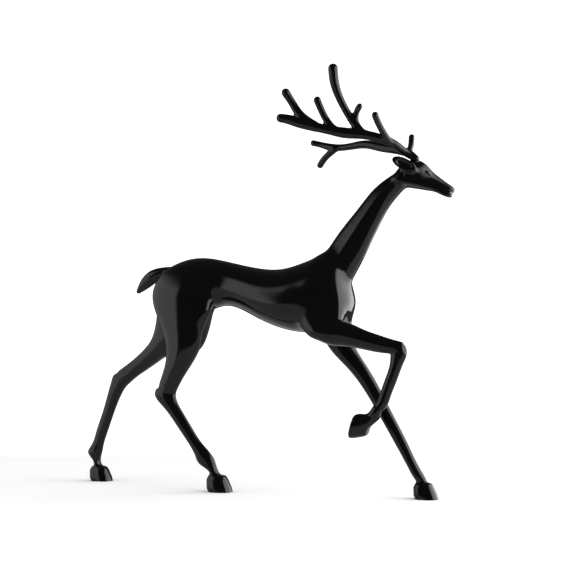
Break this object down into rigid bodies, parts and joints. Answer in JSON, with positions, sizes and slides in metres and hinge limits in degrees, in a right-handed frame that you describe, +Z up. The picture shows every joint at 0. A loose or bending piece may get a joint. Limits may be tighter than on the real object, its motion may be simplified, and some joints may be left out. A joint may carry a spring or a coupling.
{
  "type": "stag statue",
  "caption": "Slender gloss-black stag in mid-stride with a raised foreleg and swept-back antlers, standing on its hooves as a shelf or mantel ornament.",
  "frame": {"origin": "middle of the statue's length and width, on the floor it stands on", "axes": "+X from tail to nose, +Y towards the stag's left side, which is the far side in the picture, +Z up"},
  "size_m": [0.3409, 0.0939, 0.3301],
  "materials": {
    "black_gloss_paint": "smooth gloss black lacquer over cast resin"
  },
  "bodies": {
    "root": {"stag": "black_gloss_paint"}
  },
  "joints": []
}
